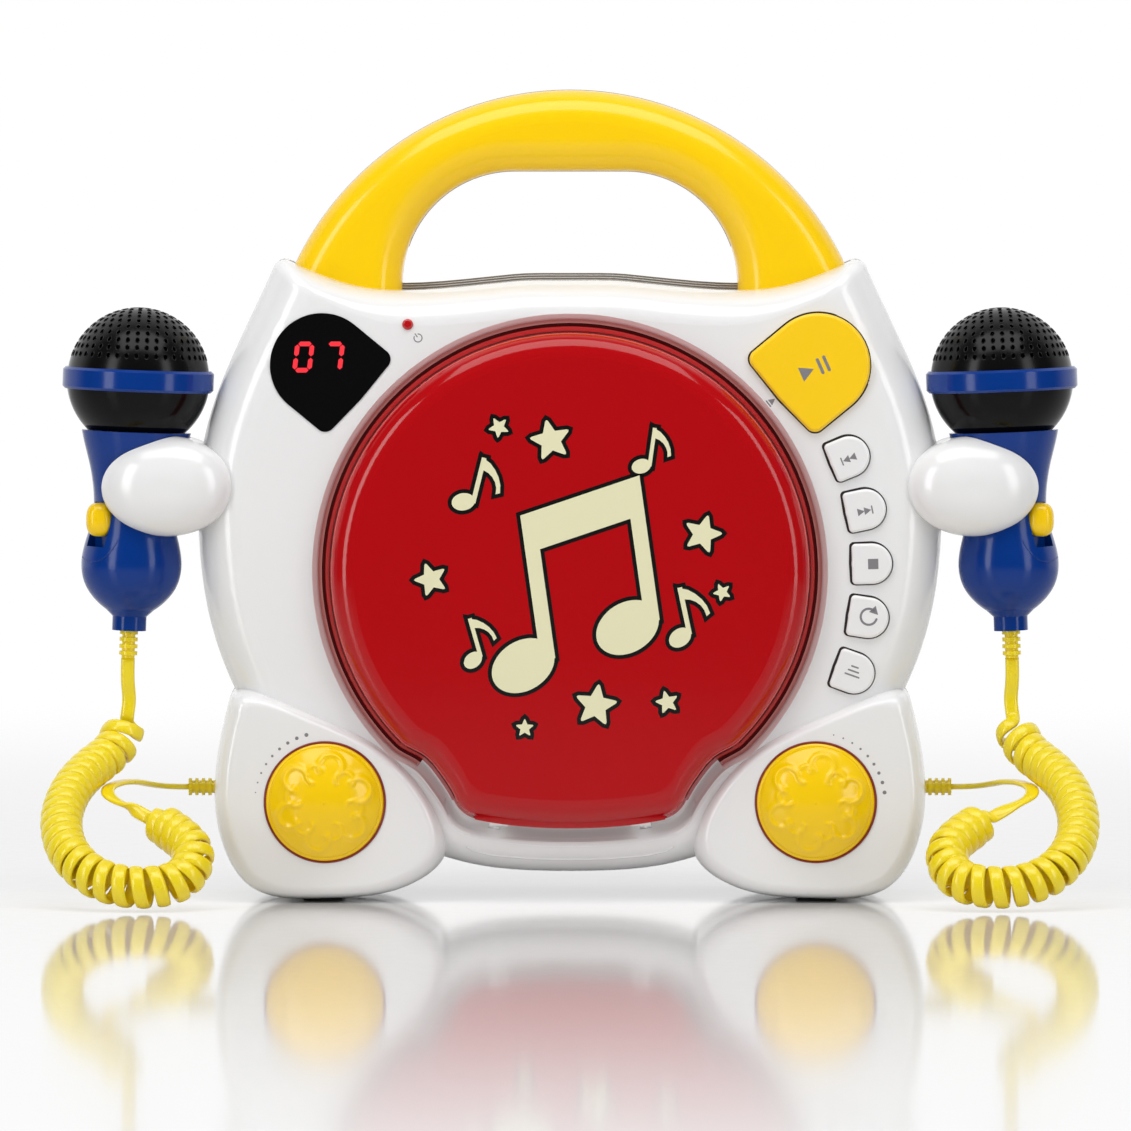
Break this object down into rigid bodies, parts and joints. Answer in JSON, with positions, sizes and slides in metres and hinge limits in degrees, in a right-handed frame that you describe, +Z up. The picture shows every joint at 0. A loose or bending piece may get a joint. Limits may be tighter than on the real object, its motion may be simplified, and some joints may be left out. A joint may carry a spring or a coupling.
{
  "type": "karaoke disc player",
  "caption": "Rounded karaoke disc player with a hinged round lid over its disc well, a loop handle, side buttons, two foot knobs and wired microphones in side holders.",
  "frame": {"origin": "on the floor under the middle of the player, midway between its front and back", "axes": "+X to the player's right seen from the front, +Y to the back, +Z up"},
  "size_m": [0.3274, 0.1369, 0.2522],
  "materials": {
    "white_shell": "glossy moulded ABS",
    "red_gloss": "glossy moulded",
    "yellow_gloss": "glossy moulded",
    "yellow_matte": "satin moulded",
    "yellow_cord": "satin PVC",
    "blue_plastic": "satin gloss",
    "black_gloss": "glossy",
    "black_head": "glossy, perforated look",
    "black_plastic": "fine texture",
    "dark_window": "smoked polycarbonate",
    "red_lens": "clear red lens",
    "lens_glass": "coated lens",
    "steel": "plated",
    "zinc_plate": "zinc plated sheet",
    "board": "phenolic board with solder side",
    "rubber": "matt"
  },
  "bodies": {
    "housing": {"front_shell": "white_shell", "rear_shell": "white_shell", "housing_screws": "steel", "rubber_feet": "rubber", "handle_front": "yellow_gloss", "handle_rear": "yellow_gloss", "latch_housing": "black_plastic", "disc_tray": "black_plastic", "mechanism_chassis": "zinc_plate", "guide_rods": "steel", "sled_motor": "zinc_plate", "spindle_motor": "zinc_plate", "display_window": "dark_window", "display_module": "black_plastic", "power_led": "red_lens", "button_board": "board", "potentiometers": "zinc_plate", "main_board": "board", "speaker": "black_plastic", "battery_contacts": "steel", "dc_jack": "black_plastic", "cord_glands": "yellow_cord", "mic_holder_left": "white_shell", "cord_coil_left": "yellow_cord", "cord_tubes_left": "yellow_cord", "mic_holder_right": "white_shell", "cord_coil_right": "yellow_cord", "cord_tubes_right": "yellow_cord"},
    "latch": {"latch_slider": "black_plastic"},
    "lid": {"disc_lid": "red_gloss", "lid_hinge_pins": "steel"},
    "turntable": {"turntable": "black_plastic"},
    "sled": {"pickup_sled": "black_plastic", "pickup_lens": "lens_glass"},
    "lead_screw": {"lead_screw": "steel"},
    "play_button": {"play_button": "yellow_matte"},
    "battery_door": {"battery_door": "white_shell"},
    "button_back_skip": {"button_back_skip": "white_shell"},
    "button_forward_skip": {"button_forward_skip": "white_shell"},
    "button_stop": {"button_stop": "white_shell"},
    "button_repeat": {"button_repeat": "white_shell"},
    "button_mode": {"button_mode": "white_shell"},
    "knob_left": {"knob_left": "yellow_matte", "pot_shaft_left": "steel"},
    "mic_left": {"mic_grille_left": "black_head", "mic_cup_left": "black_gloss", "mic_band_left": "blue_plastic", "mic_handle_left": "blue_plastic", "mic_capsule_left": "zinc_plate", "mic_relief_left": "yellow_cord"},
    "mic_switch_left": {"mic_switch_left": "yellow_matte"},
    "knob_right": {"knob_right": "yellow_matte", "pot_shaft_right": "steel"},
    "mic_right": {"mic_grille_right": "black_head", "mic_cup_right": "black_gloss", "mic_band_right": "blue_plastic", "mic_handle_right": "blue_plastic", "mic_capsule_right": "zinc_plate", "mic_relief_right": "yellow_cord"},
    "mic_switch_right": {"mic_switch_right": "yellow_matte"}
  },
  "joints": [
    {"name": "lid_hinge", "type": "hinge", "parent": "housing", "child": "lid", "pos_m": [0, -0.041, 0.0269], "axis": [1, 0, 0], "range_deg": [0, 70]},
    {"name": "lid_latch", "type": "slide", "parent": "housing", "child": "latch", "axis": [0, 1, 0], "range_m": [0, 0.003], "stiffness_N_per_m": 200, "springref_m": -0.001},
    {"name": "turntable_spin", "type": "hinge", "parent": "housing", "child": "turntable", "pos_m": [0, -0.027, 0.1029], "axis": [0, 1, 0], "continuous": true},
    {"name": "sled_travel", "type": "slide", "parent": "housing", "child": "sled", "axis": [1, 0, 0], "range_m": [0, 0.032]},
    {"name": "lead_screw_turn", "type": "hinge", "parent": "housing", "child": "lead_screw", "pos_m": [0.04, -0.017, 0.1269], "axis": [1, 0, 0], "range_deg": [0, 3841]},
    {"name": "play_press", "type": "slide", "parent": "housing", "child": "play_button", "axis": [0, 1, 0], "range_m": [0, 0.0012], "stiffness_N_per_m": 300, "springref_m": -0.001},
    {"name": "battery_door_hinge", "type": "hinge", "parent": "housing", "child": "battery_door", "pos_m": [0, 0.05, 0.039], "axis": [-1, 0, 0], "range_deg": [0, 60]},
    {"name": "back_skip_press", "type": "slide", "parent": "housing", "child": "button_back_skip", "axis": [0, 1, 0], "range_m": [0, 0.001], "stiffness_N_per_m": 300, "springref_m": -0.001},
    {"name": "forward_skip_press", "type": "slide", "parent": "housing", "child": "button_forward_skip", "axis": [0, 1, 0], "range_m": [0, 0.001], "stiffness_N_per_m": 300, "springref_m": -0.001},
    {"name": "stop_press", "type": "slide", "parent": "housing", "child": "button_stop", "axis": [0, 1, 0], "range_m": [0, 0.001], "stiffness_N_per_m": 300, "springref_m": -0.001},
    {"name": "repeat_press", "type": "slide", "parent": "housing", "child": "button_repeat", "axis": [0, 1, 0], "range_m": [0, 0.001], "stiffness_N_per_m": 300, "springref_m": -0.001},
    {"name": "mode_press", "type": "slide", "parent": "housing", "child": "button_mode", "axis": [0, 1, 0], "range_m": [0, 0.001], "stiffness_N_per_m": 300, "springref_m": -0.001},
    {"name": "knob_left_turn", "type": "hinge", "parent": "housing", "child": "knob_left", "pos_m": [-0.0761, -0.045, 0.0315], "axis": [0, 1, 0], "range_deg": [-140, 140]},
    {"name": "mic_left_pull", "type": "slide", "parent": "housing", "child": "mic_left", "axis": [-1, 0, 0], "range_m": [0, 0.05]},
    {"name": "mic_switch_left_slide", "type": "slide", "parent": "mic_left", "child": "mic_switch_left", "axis": [0.0384, 0, 0.9993], "range_m": [-0.003, 0]},
    {"name": "knob_right_turn", "type": "hinge", "parent": "housing", "child": "knob_right", "pos_m": [0.0761, -0.045, 0.0315], "axis": [0, 1, 0], "range_deg": [-140, 140]},
    {"name": "mic_right_pull", "type": "slide", "parent": "housing", "child": "mic_right", "axis": [1, 0, 0], "range_m": [0, 0.05]},
    {"name": "mic_switch_right_slide", "type": "slide", "parent": "mic_right", "child": "mic_switch_right", "axis": [-0.0384, 0, 0.9993], "range_m": [-0.003, 0]}
  ],
  "couplings": [
    {"joint": "lead_screw_turn", "follows": "sled_travel", "rad_per_m": 2094.4}
  ]
}
